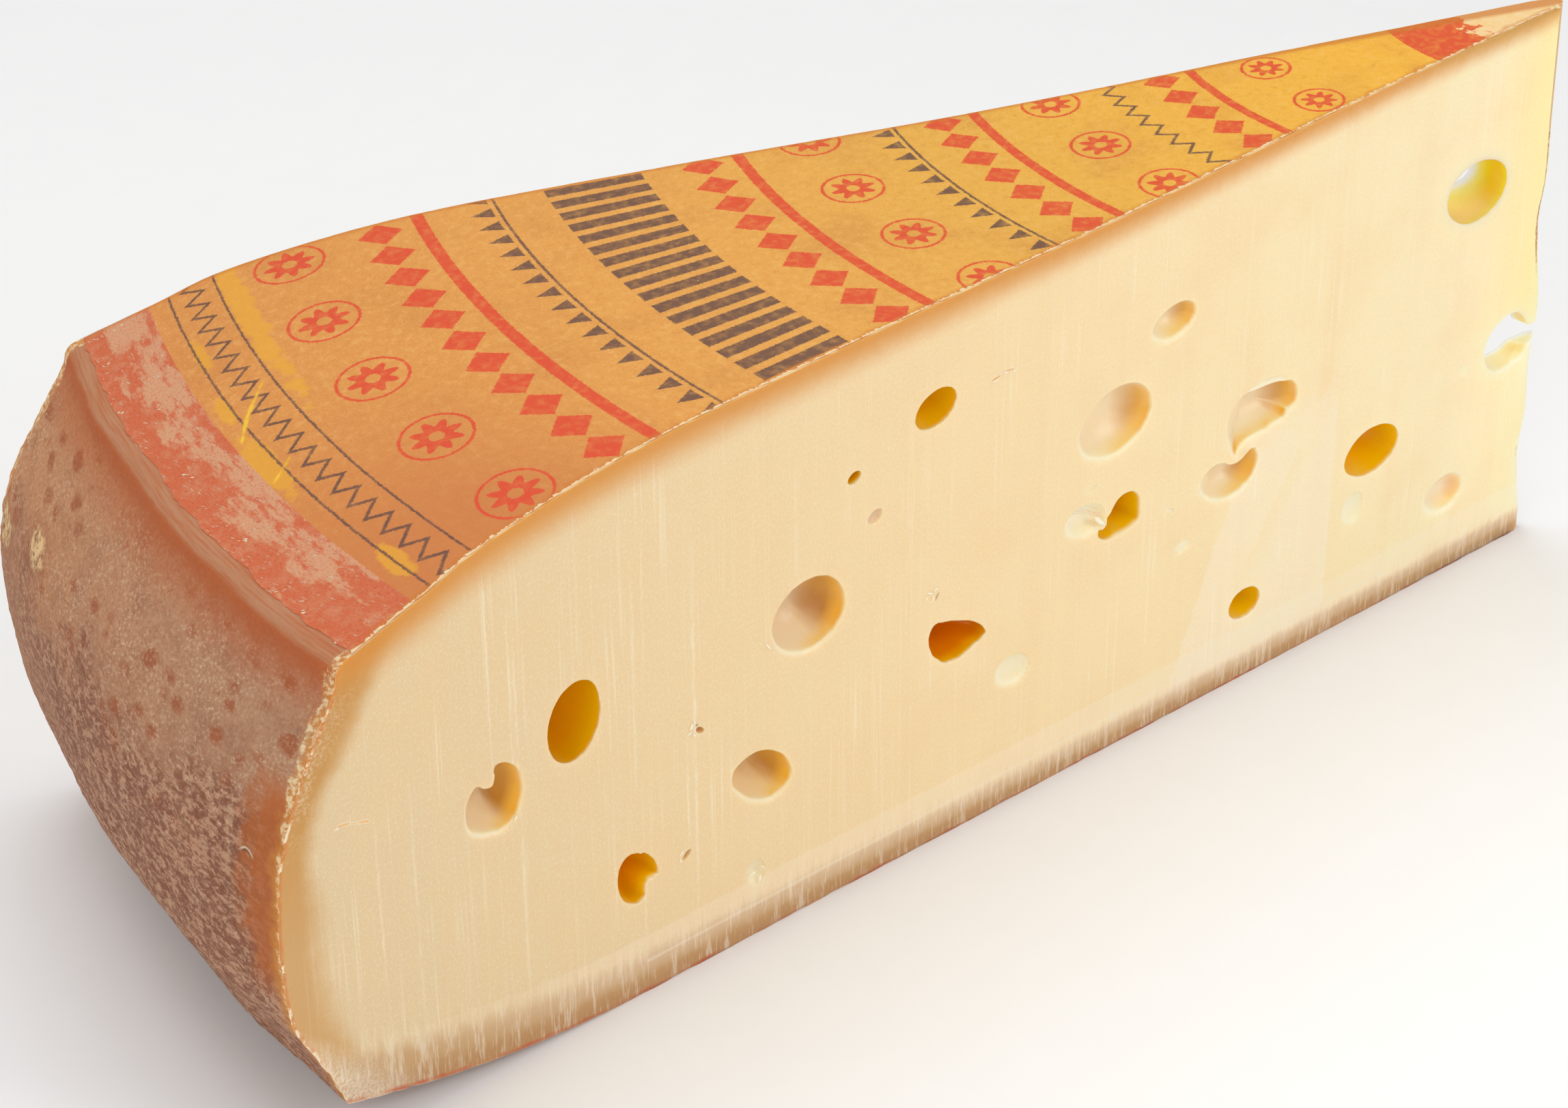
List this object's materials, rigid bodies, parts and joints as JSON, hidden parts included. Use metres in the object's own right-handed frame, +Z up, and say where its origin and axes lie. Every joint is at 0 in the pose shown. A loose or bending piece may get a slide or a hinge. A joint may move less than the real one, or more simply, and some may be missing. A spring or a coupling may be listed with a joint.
{
  "type": "cheese wedge",
  "caption": "Large wedge of hard cheese with round eyes, a brown rind on the rim and underside, and a printed paper label over its top.",
  "frame": {"origin": "middle of the wedge's box at floor level", "axes": "+X from the rim to the thin tip, +Y from the near cut face to the far one, +Z up from the flat underside to the label"},
  "size_m": [0.445, 0.1806, 0.1714],
  "materials": {
    "cheese_paste": "smooth pale cheese paste, slightly moist and translucent, with a dry brown rind on the rim and underside",
    "label_paper": "uncoated printed paper, yellow ochre with a faded red border"
  },
  "bodies": {
    "root": {"cheese": "cheese_paste", "label": "label_paper"}
  },
  "joints": []
}
